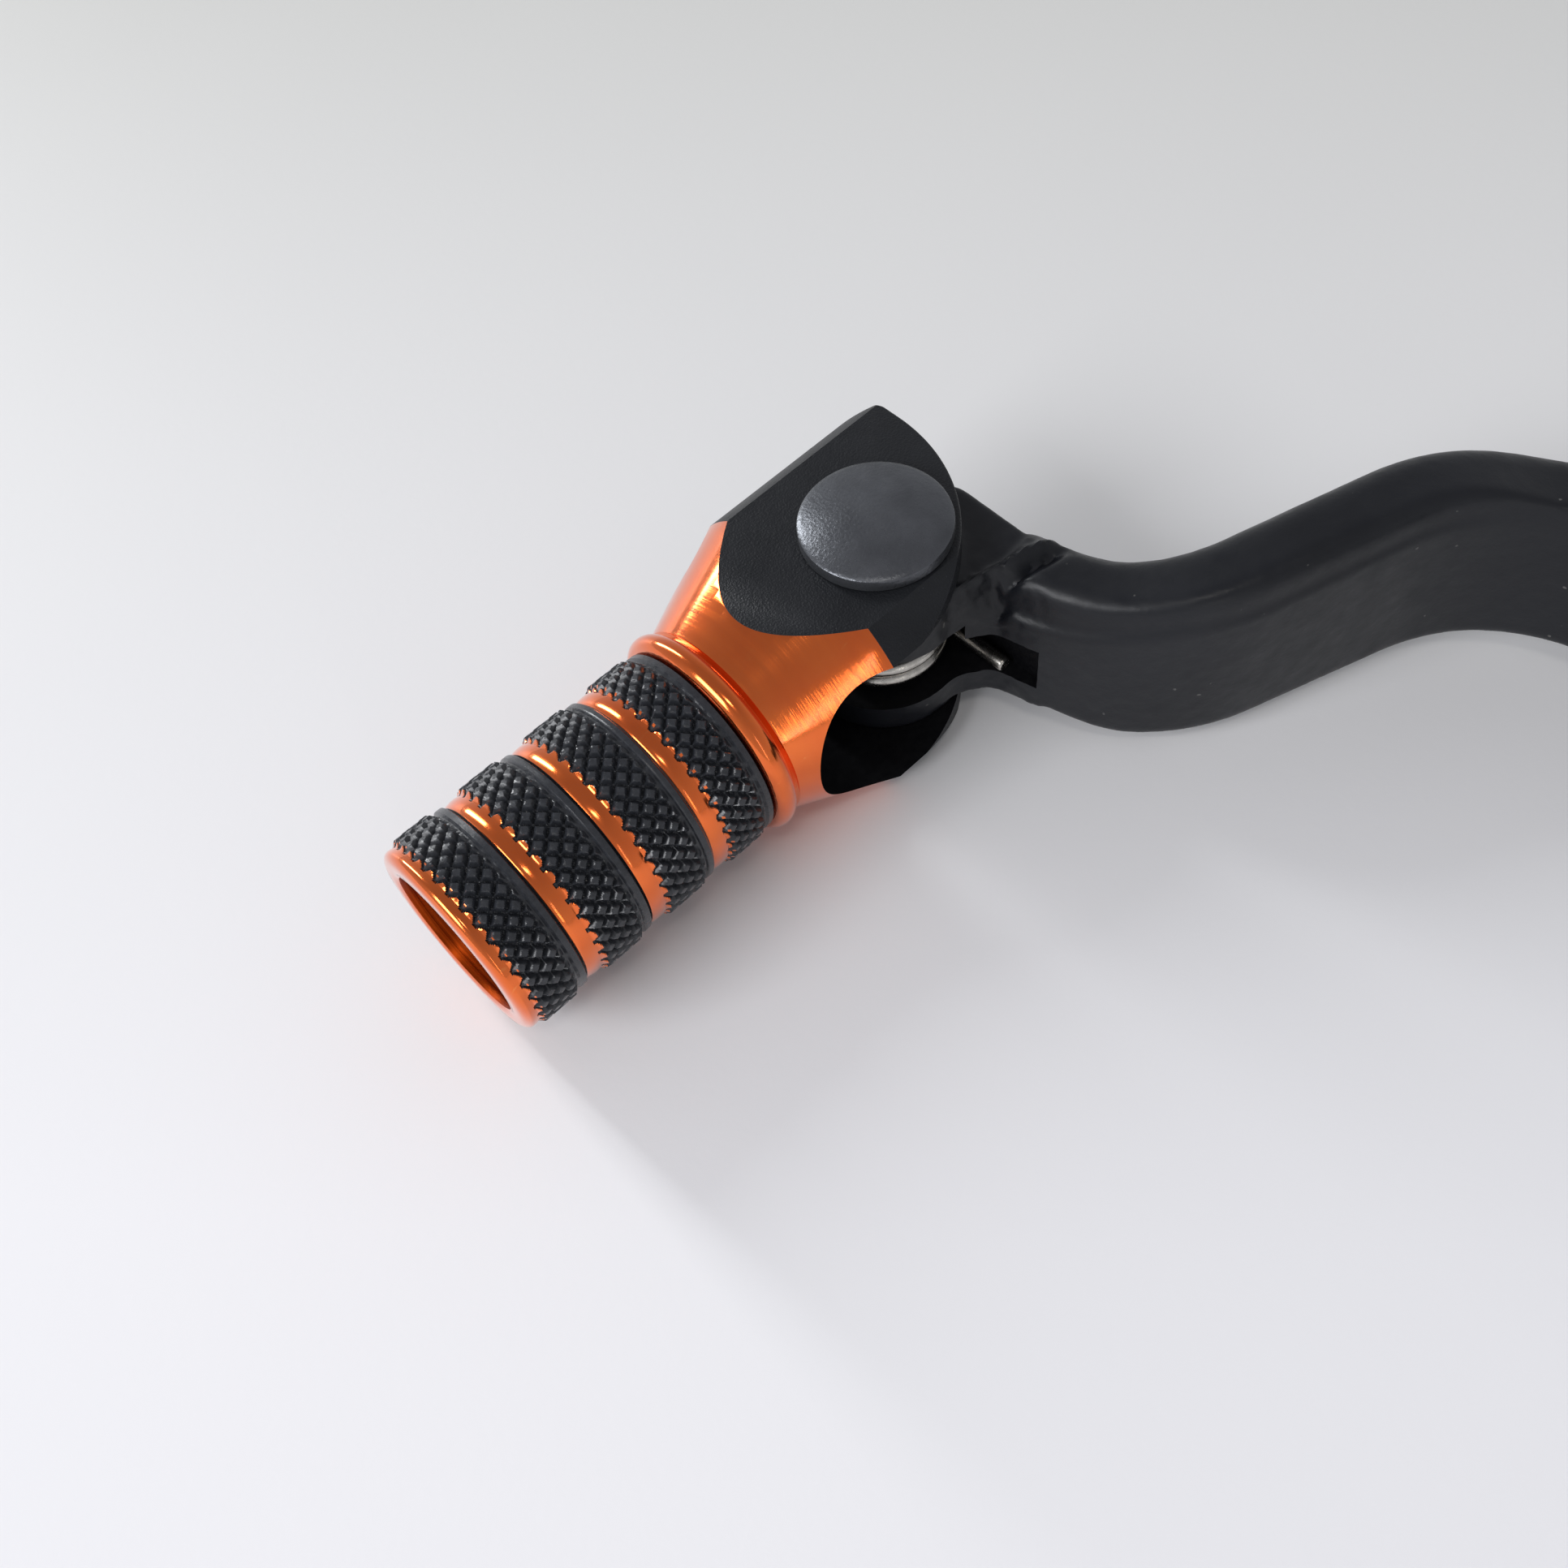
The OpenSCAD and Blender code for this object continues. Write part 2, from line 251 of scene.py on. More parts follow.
def lathe(name, outline, place, materials, columns=96, slots=None):
    """A solid of revolution about local x from (x, radius) points, from axis to axis."""
    points = [(outline[0][0], 0.0, 0.0)]
    faces = []
    face_slots = []
    body = outline[1:-1]
    for x, radius in body:
        for j in range(columns):
            angle = 2 * math.pi * j / columns
            points.append((x, radius * math.cos(angle), radius * math.sin(angle)))
    points.append((outline[-1][0], 0.0, 0.0))
    last = len(points) - 1
    for j in range(columns):
        k = (j + 1) % columns
        faces.append((0, 1 + k, 1 + j))
        face_slots.append(slots[0] if slots else 0)
        for i in range(len(body) - 1):
            a = 1 + i * columns
            faces.append((a + j, a + k, a + columns + k, a + columns + j))
            face_slots.append(slots[i + 1] if slots else 0)
        a = 1 + (len(body) - 1) * columns
        faces.append((a + j, a + k, last))
        face_slots.append(slots[-1] if slots else 0)
    return make(name, points, faces, place, materials, face_slots)


def ring_solid(name, section, place, materials, columns=96):
    """A closed (x, radius) section turned about local x, with a hole through its middle."""
    count = len(section)
    points = []
    faces = []
    for j in range(columns):
        angle = 2 * math.pi * j / columns
        points += [(x, r * math.cos(angle), r * math.sin(angle)) for x, r in section]
    for j in range(columns):
        for i in range(count):
            a = j * count + i
            b = j * count + (i + 1) % count
            c = (j + 1) % columns * count + (i + 1) % count
            d = (j + 1) % columns * count + i
            faces.append((a, b, c, d))
    return make(name, points, faces, place, materials)


def wire(name, path, radius, place, materials, sides=16):
    """A round wire along a path, with slightly rounded cut ends."""
    rings = []
    last = len(path) - 1
    ends = {0: 1, last: -1}
    for i, p in enumerate(path):
        p = Vector(p)
        along = (Vector(path[min(i + 1, last)]) - Vector(path[max(i - 1, 0)])).normalized()
        side = Vector((0, 0, 1)).cross(along).normalized()
        up = along.cross(side)
        steps = [(0.0, 1.0)]
        if i in ends:
            steps = [(0.0, 0.8), (0.08, 0.93), (0.2, 1.0)][:: ends[i]]
        for forward, scale in steps:
            centre = p + along * forward * ends.get(i, 0)
            ring = []
            for k in range(sides):
                angle = 2 * math.pi * k / sides
                ring.append(centre + radius * scale * (math.cos(angle) * side + math.sin(angle) * up))
            rings.append(ring)
    points, faces = stacked(rings)
    return make(name, points, faces, place, materials)


def settle(obj):
    """Turns an object's modifiers into its mesh."""
    graph = bpy.context.evaluated_depsgraph_get()
    mesh = bpy.data.meshes.new_from_object(obj.evaluated_get(graph))
    obj.modifiers.clear()
    old = obj.data
    obj.data = mesh
    bpy.data.meshes.remove(old)


def carve(obj, tool, operation="DIFFERENCE"):
    """Cuts, joins or intersects obj with a tool, which is used up."""
    change = obj.modifiers.new("carve", "BOOLEAN")
    change.operation = operation
    change.solver = "MANIFOLD"
    change.object = tool
    change.material_mode = "TRANSFER"
    settle(obj)
    bpy.data.objects.remove(tool)


def crisp(obj, degrees=32):
    """Smooth shading that keeps edges sharper than the angle."""
    obj.data.polygons.foreach_set("use_smooth", [True] * len(obj.data.polygons))
    obj.data.set_sharp_from_angle(angle=math.radians(degrees))


def place_on(obj, body, slot, *nodes):
    """Shades a finished piece, ties it to its body and hides its CAD nodes; the finish name it is given is
    not used.
    """
    crisp(obj)
    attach(obj, body)
    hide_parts(*nodes)


def eased(x, table):
    """A smooth curve through (x, value) pairs."""
    if x <= table[0][0]:
        return table[0][1]
    for (xa, va), (xb, vb) in zip(table, table[1:]):
        if x <= xb:
            t = (x - xa) / (xb - xa)
            return va + (vb - va) * t * t * (3 - 2 * t)
    return table[-1][1]


# ---------------------------------------------------------------------------
# Materials
# ---------------------------------------------------------------------------
class Finish:
    """A procedural material in the object's own coordinates, in metres."""

    def __init__(self, name, colour, metallic, roughness):
        self.material = bpy.data.materials.new(name)
        self.material.use_nodes = True
        self.tree = self.material.node_tree
        self.shader = self.tree.nodes["Principled BSDF"]
        self.shader.inputs["Base Color"].default_value = (*colour, 1)
        self.shader.inputs["Metallic"].default_value = metallic
        self.shader.inputs["Roughness"].default_value = roughness
        self.where = self.node("ShaderNodeTexCoord").outputs["Object"]
        self.normal = None

    def node(self, kind, **settings):
        made = self.tree.nodes.new(kind)
        for key, value in settings.items():
            setattr(made, key, value)
        return made

    def wire(self, source, socket):
        self.tree.links.new(source, socket)

    def noise(self, scale, detail=3.0, rough=0.55, stretch=None, distortion=0.0):
        """Noise with this many features to the metre, squeezed along an axis where asked."""
        made = self.node("ShaderNodeTexNoise")
        made.inputs["Scale"].default_value = scale
        made.inputs["Detail"].default_value = detail
        made.inputs["Roughness"].default_value = rough
        made.inputs["Distortion"].default_value = distortion
        source = self.where
        if stretch:
            squeeze = self.node("ShaderNodeMapping")
            squeeze.inputs["Scale"].default_value = stretch
            self.wire(source, squeeze.inputs["Vector"])
            source = squeeze.outputs["Vector"]
        self.wire(source, made.inputs["Vector"])
        return made.outputs["Fac"]

    def cells(self, scale):
        """Distance to the nearest of many scattered points."""
        made = self.node("ShaderNodeTexVoronoi")
        made.inputs["Scale"].default_value = scale
        self.wire(self.where, made.inputs["Vector"])
        return made.outputs["Distance"]

    def remap(self, source, low, high, to_low, to_high):
        made = self.node("ShaderNodeMapRange")
        made.inputs["From Min"].default_value = low
        made.inputs["From Max"].default_value = high
        made.inputs["To Min"].default_value = to_low
        made.inputs["To Max"].default_value = to_high
        self.wire(source, made.inputs["Value"])
        return made.outputs["Result"]

    def blend(self, amount, first, second):
        """A colour between two, by an amount from 0 to 1."""
        made = self.node("ShaderNodeMix", data_type="RGBA")
        self.wire(amount, made.inputs["Factor"])
        self.colour_into(first, made.inputs[6])
        self.colour_into(second, made.inputs[7])
        return made.outputs[2]

    def two_tone(self, source, first, second, low=0.3, high=0.7):
        """A colour that follows a noise from the first colour, at low, to the second, at high."""
        return self.blend(self.remap(source, low, high, 0, 1), first, second)

    def colour_into(self, value, socket):
        if isinstance(value, tuple):
            socket.default_value = (*value, 1)
        else:
            self.wire(value, socket)

    def set(self, socket, value):
        self.shader.inputs[socket].default_value = value

    def colour(self, source):
        self.wire(source, self.shader.inputs["Base Color"])

    def roughness(self, source):
        self.wire(source, self.shader.inputs["Roughness"])

    def bump(self, height, depth_mm, strength=1.0):
        """Raises the surface by up to depth_mm where height is 1."""
        made = self.node("ShaderNodeBump")
        made.inputs["Strength"].default_value = strength
        made.inputs["Distance"].default_value = depth_mm * MM
        self.wire(height, made.inputs["Height"])
        if self.normal:
            self.wire(self.normal, made.inputs["Normal"])
        self.normal = made.outputs["Normal"]
        self.wire(self.normal, self.shader.inputs["Normal"])


def orange_anodised():
    """Bright turned aluminium under orange dye: fine turning rings, faint scratches."""
    finish = Finish("orange_anodised", (0.98, 0.22, 0.02), 1.0, 0.2)
    finish.set("Coat Weight", 0.7)
    finish.set("Coat Roughness", 0.12)
    rings = finish.noise(9000, 2.0, 0.6, stretch=(0.004, 1, 0.004))
    coarse = finish.noise(1700, 2.0, 0.5, stretch=(0.01, 1, 0.01))
    patches = finish.noise(260, 3.0, 0.6)
    scratches = finish.noise(900, 4.0, 0.7, stretch=(1, 0.12, 0.5), distortion=0.6)
    shade = finish.two_tone(patches, (0.88, 0.15, 0.02), (0.94, 0.185, 0.027))
    worn = finish.blend(finish.remap(scratches, 0.66, 0.72, 0, 0.5), shade, (1.0, 0.42, 0.12))
    finish.colour(worn)
    finish.roughness(finish.remap(coarse, 0.2, 0.8, 0.09, 0.19))
    finish.bump(rings, 0.005)
    finish.bump(coarse, 0.006)
    finish.bump(scratches, 0.006)
    return finish.material


def bore_painted_shade():
    """Drilled bore: the same dye, with the drill's coarse rings in its bump and roughness; its darker
    colour is painted shade inside the bore.
    """
    finish = Finish("bore_painted_shade", (0.42, 0.06, 0.006), 1.0, 0.36)
    rings = finish.noise(4200, 2.0, 0.6, stretch=(0.01, 1, 0.01))
    shade = finish.two_tone(rings, (0.3, 0.04, 0.004), (0.48, 0.07, 0.007))
    finish.colour(shade)
    finish.roughness(finish.remap(rings, 0.3, 0.7, 0.3, 0.44))
    finish.bump(rings, 0.02)
    return finish.material


def black_knurl():
    """Black anodised knurling: satin, with fine paler dust."""
    finish = Finish("black_knurl", (0.012, 0.013, 0.015), 0.0, 0.36)
    dust = finish.noise(2500, 4.0, 0.7)
    broad = finish.noise(350, 3.0, 0.6)
    shade = finish.two_tone(dust, (0.018, 0.0195, 0.0235), (0.036, 0.039, 0.046), 0.35, 0.75)
    finish.colour(shade)
    finish.roughness(finish.remap(broad, 0.3, 0.7, 0.22, 0.32))
    finish.bump(dust, 0.02)
    return finish.material


def black_blasted():
    """Bead-blasted black anodising; the glints of its blasted grains are painted into the colour as pale
    specks.
    """
    finish = Finish("black_blasted", (0.02, 0.021, 0.024), 0.0, 0.44)
    finish.set("Specular IOR Level", 0.28)
    grains = finish.cells(7000)
    fine = finish.noise(5200, 3.0, 0.6)
    broad = finish.noise(180, 4.0, 0.6)
    shade = finish.two_tone(broad, (0.007, 0.0078, 0.0098), (0.013, 0.0142, 0.0168))
    # painted highlight: pale specks in the colour stand in for glints off the blasted grains
    painted_glints = finish.blend(finish.remap(fine, 0.7, 0.78, 0, 0.6), shade, (0.1, 0.105, 0.11))
    finish.colour(painted_glints)
    finish.roughness(finish.remap(broad, 0.3, 0.7, 0.38, 0.5))
    finish.bump(grains, 0.022)
    finish.bump(fine, 0.02)
    return finish.material


def black_dome():
    """The pin's cap: fine blasting over bright metal, which catches the light."""
    finish = Finish("black_dome", (0.1, 0.105, 0.115), 0.75, 0.32)
    grains = finish.noise(6500, 3.0, 0.6)
    pits = finish.cells(3600)
    broad = finish.noise(300, 3.0, 0.6)
    shade = finish.two_tone(broad, (0.085, 0.089, 0.098), (0.125, 0.131, 0.143))
    finish.colour(shade)
    finish.roughness(finish.remap(grains, 0.3, 0.7, 0.26, 0.37))
    finish.bump(pits, 0.012)
    finish.bump(grains, 0.016)
    return finish.material


def black_shadowed():
    """Painted shade: a near-black, dull colour for the faces inside the slots, darker than the black
    anodising.
    """
    finish = Finish("black_shadowed", (0.003, 0.003, 0.004), 0.0, 0.6)
    finish.set("Specular IOR Level", 0.12)
    skin = finish.noise(2200, 4.0, 0.6)
    shade = finish.two_tone(skin, (0.002, 0.002, 0.003), (0.005, 0.005, 0.006))
    finish.colour(shade)
    finish.roughness(finish.remap(skin, 0.3, 0.7, 0.5, 0.68))
    finish.bump(skin, 0.015)
    return finish.material


def black_forging():
    """Satin black anodising over a forged skin: faint pits, dust and handling marks."""
    finish = Finish("black_forging", (0.018, 0.019, 0.021), 0.0, 0.42)
    finish.set("Specular IOR Level", 0.36)
    skin = finish.noise(2600, 4.0, 0.6)
    lumps = finish.noise(420, 4.0, 0.6)
    broad = finish.noise(70, 3.0, 0.5)
    specks = finish.noise(1300, 1.0, 0.4)
    shade = finish.two_tone(broad, (0.0045, 0.0052, 0.0075), (0.0085, 0.0096, 0.0128))
    marked = finish.blend(finish.remap(specks, 0.79, 0.82, 0, 0.3), shade, (0.3, 0.29, 0.27))
    finish.colour(marked)
    finish.roughness(finish.remap(lumps, 0.3, 0.7, 0.33, 0.46))
    finish.bump(skin, 0.014)
    finish.bump(lumps, 0.02)
    return finish.material


def bare_steel(name, colour, roughness):
    """Bright or plated steel with drawing lines and slight staining."""
    finish = Finish(name, colour, 1.0, roughness)
    lines = finish.noise(5000, 3.0, 0.6, stretch=(1, 1, 0.15))
    stain = finish.noise(900, 4.0, 0.65)
    dark = tuple(0.62 * c for c in colour)
    finish.colour(finish.two_tone(stain, colour, dark, 0.35, 0.7))
    finish.roughness(finish.remap(stain, 0.3, 0.7, roughness * 0.8, roughness * 1.35))
    finish.bump(lines, 0.01)
    return finish.material


def black_oxide():
    """Dark oiled screw steel."""
    finish = Finish("black_oxide", (0.05, 0.05, 0.055), 0.8, 0.38)
    grain = finish.noise(3000, 4.0, 0.6)
    shade = finish.two_tone(grain, (0.035, 0.035, 0.04), (0.07, 0.07, 0.075))
    finish.colour(shade)
    finish.roughness(finish.remap(grain, 0.3, 0.7, 0.3, 0.46))
    finish.bump(grain, 0.012)
    return finish.material


ORANGE = orange_anodised()
BORE_SHADE_ORANGE = bore_painted_shade()
KNURL = black_knurl()
BLASTED = black_blasted()
DOME = black_dome()
FORGING = black_forging()
SHADOWED = black_shadowed()
STEEL = bare_steel("plated_steel", (0.62, 0.62, 0.6), 0.3)
HARD = bare_steel("ground_steel", (0.5, 0.5, 0.5), 0.22)
SPRING = bare_steel("spring_wire", (0.66, 0.63, 0.58), 0.24)
OXIDE = black_oxide()


# ---------------------------------------------------------------------------
# Folding tip: one turned bar, knurled, then milled
# ---------------------------------------------------------------------------
DIAMONDS = 36
COLUMNS = DIAMONDS * 13
DIAMOND_LENGTH = 1.35
KNURL_DEPTH = 0.52
STATION_STEP = 0.08
RIM_R = 7.3
RIM_BAND_R = 7.12
BAND_ROOT_R = 6.75
RIM_RAMP = 0.2
RIM_END = 0.62
RIM_DROP = 0.1
KNURL_START = 0.85
KNURL_BLEND = 0.35
CREST_SINK = 0.14
BANDS_END = BAND_X0 + (BAND_COUNT - 1) * BAND_PITCH + BAND_W
LIP_EDGE_R = 6.35
LIP_ROUND = 0.6
BEAD_ROOT = 6.93
BEAD_RISE = 0.3
BEAD_MIDDLE = 0.75
BEAD_HALF = 0.8
CROWN_X = TIP_END - 0.58
CUT_BREAK = 0.12
RIM_LEAD = 0.3
FIRST_LEAD = 0.12
UNCUT = 99.0
PAST_BAND = 0.4
CONE_STEPS = 11
RIDGE_X = 15.15
RIDGE_R = 0.9
RIDGE_BASE = 7.12
RIDGE_FROM = 168
RIDGE_TO = 22
RIDGE_STEPS = 14
LIP_STEPS = 16
BORE_STEPS = 8
DRILL_POINT = 2.2
ORANGE_SLOT, KNURL_SLOT, BLACK_SLOT, BORE_SLOT = 0, 1, 2, 3


def bead_radius(x, band_end):
    """Radius of the turned orange bead that follows a band."""
    off = (x - band_end - BEAD_MIDDLE) / BEAD_HALF
    return BEAD_ROOT + BEAD_RISE * math.sqrt(max(1 - off ** 2, 0.0))


def bead_cut(x, band_end):
    """Radius left by the tool after a band: a broken edge, then the bead."""
    slope = KNURL_R + 0.06 - max(x - band_end + CUT_BREAK, 0.0)
    if abs(x - band_end - BEAD_MIDDLE) < BEAD_HALF:
        return max(slope, bead_radius(x, band_end))
    return slope if abs(x - band_end) < BEAD_HALF else UNCUT


def lip_radius(x):
    """Radius of the end lip: the last bead, which rounds over to the end face."""
    if x < CROWN_X:
        return bead_radius(x, CROWN_X - BEAD_MIDDLE)
    top = BEAD_ROOT + BEAD_RISE
    return LIP_EDGE_R + (top - LIP_EDGE_R) * math.sqrt(max(1 - ((x - CROWN_X) / LIP_ROUND) ** 2, 0.0))


def knurl_height(x, angles):
    """Height of the diamond pyramids, from 0 in their grooves to 0.95 at their blunt tips."""
    around = DIAMONDS * angles / (2 * np.pi)
    first = np.abs(((around + x / DIAMOND_LENGTH) % 1) - 0.5) * 2
    second = np.abs(((around - x / DIAMOND_LENGTH) % 1) - 0.5) * 2
    pyramid = np.minimum(1 - first, 1 - second) * 2
    return np.clip(pyramid, 0.0, 0.95)


def band_radius(u, x, angles):
    """Black surface of a knurled band, u millimetres from its fork side."""
    height = knurl_height(x, angles)
    if u < RIM_RAMP:
        return np.full_like(angles, BAND_ROOT_R + (RIM_R - BAND_ROOT_R) * (u / RIM_RAMP) ** 0.6)
    if u < RIM_END:
        return np.full_like(angles, RIM_R)
    blend = min(max((u - KNURL_START) / KNURL_BLEND, 0.0), 1.0)
    step = RIM_BAND_R + (RIM_R - RIM_BAND_R) * max(0.0, 1 - (u - RIM_END) / RIM_DROP)
    knurled = KNURL_R - KNURL_DEPTH * (1 - height)
    return step + (np.maximum(knurled, step - CREST_SINK) - step) * blend


def bar_stations():
    """Stations along the knurled grip, close together."""
    count = int((BANDS_END + STATION_STEP - BAND_X0) / STATION_STEP)
    return [BAND_X0 + STATION_STEP * i for i in range(count + 1)]


def grip_row(x, angles):
    """Radius and finish round the bar at one station of the knurled grip."""
    index = min(int((x - BAND_X0 + RIM_LEAD) / BAND_PITCH), BAND_COUNT - 1)
    end = BAND_X0 + index * BAND_PITCH + BAND_W
    start = end - BAND_W - (RIM_LEAD if index else FIRST_LEAD)
    edge = end if index < BAND_COUNT - 1 else CROWN_X - BEAD_MIDDLE
    cut = np.full_like(angles, bead_cut(x, edge))
    if x > end + PAST_BAND:
        return cut, np.full(len(angles), ORANGE_SLOT)
    black = band_radius(x - start, x, angles)
    return np.minimum(black, cut), np.where(black < cut, KNURL_SLOT, ORANGE_SLOT)


def bar_rows(angles):
    """(x, radii, finishes) of each station, from the fork's end to the bottom of the end bore."""
    rows = []

    def plain(x, radius, slot):
        rows.append((x, np.full(COLUMNS, float(radius)), np.full(COLUMNS, slot)))

    for x in (FORK_END - 2, -4, 0, 3, CONE_X - 0.05):
        plain(x, BAR_R, BLACK_SLOT)
    plain(CONE_X, BAR_R - 0.01, ORANGE_SLOT)
    for i in range(1, CONE_STEPS + 1):
        x = CONE_X + (CONE_END - CONE_X) * i / CONE_STEPS
        plain(x, BAR_R - CONE_K * (x - CONE_X), ORANGE_SLOT)
    plain(CONE_END + 0.06, BAR_R - CONE_K * (CONE_END - CONE_X) - 0.1, ORANGE_SLOT)
    for i in range(RIDGE_STEPS + 1):
        swing = math.radians(RIDGE_FROM + (RIDGE_TO - RIDGE_FROM) * i / RIDGE_STEPS)
        plain(RIDGE_X + RIDGE_R * math.cos(swing), RIDGE_BASE + RIDGE_R * math.sin(swing), ORANGE_SLOT)
    plain(RIDGE_X + RIDGE_R - 0.03, GROOVE_R, ORANGE_SLOT)
    for x in bar_stations():
        radius, slots = grip_row(x, angles)
        rows.append((x, radius, slots))
    for i in range(1, LIP_STEPS + 1):
        x = BANDS_END + 0.1 + (TIP_END - 0.02 - BANDS_END - 0.1) * i / LIP_STEPS
        plain(x, lip_radius(x), ORANGE_SLOT)
    plain(TIP_END, LIP_EDGE_R - 0.1, ORANGE_SLOT)
    plain(TIP_END, END_BORE_R + 0.28, ORANGE_SLOT)
    plain(TIP_END - 0.12, END_BORE_R + 0.06, ORANGE_SLOT)
    # The bore takes the darker orange: painted shade inside the end bore.
    plain(TIP_END - 0.4, END_BORE_R, BORE_SLOT)
    for i in range(1, BORE_STEPS + 1):
        plain(TIP_END - END_BORE_DEPTH * i / BORE_STEPS, END_BORE_R, BORE_SLOT)
    return rows


def turned_bar():
    """The whole bar before milling, with its end bore."""
    angles = 2 * np.pi * np.arange(COLUMNS) / COLUMNS
    rows = bar_rows(angles)
    points = [(rows[0][0], 0.0, 0.0)]
    for x, radius, _ in rows:
        points += zip([x] * COLUMNS, (radius * np.cos(angles)).tolist(), (radius * np.sin(angles)).tolist())
    points.append((rows[-1][0] - DRILL_POINT, 0.0, 0.0))
    last = len(points) - 1
    faces = []
    slots = []
    for j in range(COLUMNS):
        k = (j + 1) % COLUMNS
        faces.append((0, 1 + k, 1 + j))
        slots.append(BLACK_SLOT)
    for i in range(len(rows) - 1):
        a = 1 + i * COLUMNS
        own = rows[i][2]
        following = rows[i + 1][2]
        for j in range(COLUMNS):
            k = (j + 1) % COLUMNS
            faces.append((a + j, a + k, a + COLUMNS + k, a + COLUMNS + j))
            corners = [own[j], own[k], following[j], following[k]]
            slots.append(ORANGE_SLOT if corners.count(ORANGE_SLOT) > 2 else int(max(corners)))
    a = 1 + (len(rows) - 1) * COLUMNS
    for j in range(COLUMNS):
        faces.append((a + j, a + (j + 1) % COLUMNS, last))
        slots.append(BORE_SLOT)
    return make("fold_tip", points, faces, TIP, [ORANGE, KNURL, BLASTED, BORE_SHADE_ORANGE], slots)


def fork_outline():
    """The fork from above: an arc off the hinge, and a square corner with a small round."""
    swing = arc(CAM_C, CAM_C[0] - FORK_END, 90, 180, 40)
    corner = rounded([(FORK_END, -4.9, 0), (FORK_END, -6.5, 1.1), (-6.0, -9.4, 0), (-6.0, -20, 0),
                      (60, -20, 0), (60, 20, 0), (CAM_C[0], 20, 0)], steps=6)
    return swing + corner


def folding_tip():
    tip = turned_bar()
    carve(tip, prism("ears", fork_outline(), -FLAT_H, FLAT_H, TIP, [BLASTED], bevel=0.22), "INTERSECT")
    slot_view = [(-30, -SLOT_H), (CONE_X, -SLOT_H)] + arc((CONE_X, 0), SLOT_H, -88, 88, 44)
    slot_view += [(CONE_X, SLOT_H), (-30, SLOT_H)]
    upright = TIP @ Matrix.Rotation(QUARTER, 4, "X")
    # the slot's cut faces take the near-black slot colour, painted shade
    carve(tip, prism("slot", slot_view, -20, 20, upright, [SHADOWED]))
    at_pin = TIP @ Matrix.Translation((0, AXIS_OFFSET, 0)) @ X_TO_Z
    bore = [(-20, 0), (-20, PIN_R), (20, PIN_R), (20, 0)]
    carve(tip, lathe("bore", bore, at_pin, [BLASTED], 64))
    seat = [(-20, 0), (-20, SEAT_R), (-FLAT_H + 1.1, SEAT_R), (-FLAT_H + 1.1, 0)]
    carve(tip, lathe("seat", seat, at_pin, [BLASTED], 64))
    coil_top = COIL_LOW + COIL_PITCH * COIL_TURNS
    leg = TIP @ Matrix.Translation((0, AXIS_OFFSET - COIL_R, coil_top))
    hole = [(8, 0), (8, WIRE_R + 0.25), (TIP_LEG + 1, WIRE_R + 0.25), (TIP_LEG + 1.4, 0)]
    carve(tip, lathe("leg_hole", hole, leg, [BLASTED], 32))
    place_on(tip, "tip", "orange_tip", "folding_tip")


# ---------------------------------------------------------------------------
# Pivot pin, sleeve, washers and retaining screw
# ---------------------------------------------------------------------------
def pivot_pin():
    """A domed cap on a shank, its rim softly broken."""
    sphere_r = (DOME_R ** 2 + DOME_RISE ** 2) / (2 * DOME_RISE)
    top = FLAT_H + DOME_RIM
    outline = [(-FLAT_H + 1.15, 0), (-FLAT_H + 1.15, PIN_R - 0.3), (-FLAT_H + 1.4, PIN_R), (FLAT_H, PIN_R)]
    outline += [(FLAT_H + 0.01, DOME_R - 0.12), (FLAT_H + 0.12, DOME_R), (top - 0.16, DOME_R)]
    outline += [(top - 0.05, DOME_R - 0.03), (top + 0.03, DOME_R - 0.12)]
    for i in range(1, 24):
        radius = (DOME_R - 0.16) * (1 - i / 24)
        outline.append((top + DOME_RISE - sphere_r + math.sqrt(sphere_r ** 2 - radius ** 2), radius))
    outline.append((top + DOME_RISE, 0))
    pin = lathe("pin_cap", outline, HINGE @ X_TO_Z, [DOME], 128)
    place_on(pin, "tip", "black_pin", "pivot_pin")


def soft_ring(name, low, high, inner, outer, edge, materials, place=HINGE):
    """A ring along local z with small rounds on all its edges."""
    corners = [(low, inner, edge), (high, inner, edge), (high, outer, edge), (low, outer, edge)]
    return ring_solid(name, rounded(corners, 3), place @ X_TO_Z, materials)


def hinge_rings():
    seat = HEAD_H - SEAT_DEPTH
    sleeve = soft_ring("pin_sleeve", -seat, seat, SLEEVE_BORE, SLEEVE_R, 0.12, [HARD])
    place_on(sleeve, "arm", "hard_steel", "pivot_sleeve")
    upper = soft_ring("thrust_upper", seat, seat + WASHER_T, PIN_R + 0.1, WASHER_R, 0.12, [STEEL])
    place_on(upper, "arm", "steel", "upper_washer")
    lower = soft_ring("thrust_lower", -seat - WASHER_T, -seat, PIN_R + 0.1, WASHER_R, 0.12, [STEEL])
    place_on(lower, "arm", "steel", "lower_washer")


def socket_tool(name, across, low, high, place):
    """A hexagonal cutter with its corners a little eased."""
    flat = [(across / math.sqrt(3) * math.cos(math.radians(60 * i)),
             across / math.sqrt(3) * math.sin(math.radians(60 * i)), 0.08) for i in range(6)]
    return prism(name, rounded(flat, 2), low, high, place, [OXIDE])


def threaded_rod(name, low, high, radius, pitch, place, materials):
    """A round rod with a triangular thread cut along it, about local z."""
    columns = 40
    rows = int((high - low) / pitch * 8)
    depth = 0.54 * pitch
    rings = []
    for i in range(rows + 1):
        z = low + (high - low) * i / rows
        fade = min(1, (z - low) / pitch, (high - z) / pitch)
        ring = []
        for j in range(columns):
            phase = (z / pitch - j / columns) % 1
            groove = depth * (1 - abs(2 * phase - 1) * 1.15)
            r = radius - max(groove, 0) * max(fade, 0) - (0.4 * pitch if i in (0, rows) else 0)
            angle = 2 * math.pi * j / columns
            ring.append((r * math.cos(angle), r * math.sin(angle), z))
        rings.append(ring)
    points, faces = stacked(rings)
    return make(name, points, faces, place, materials)


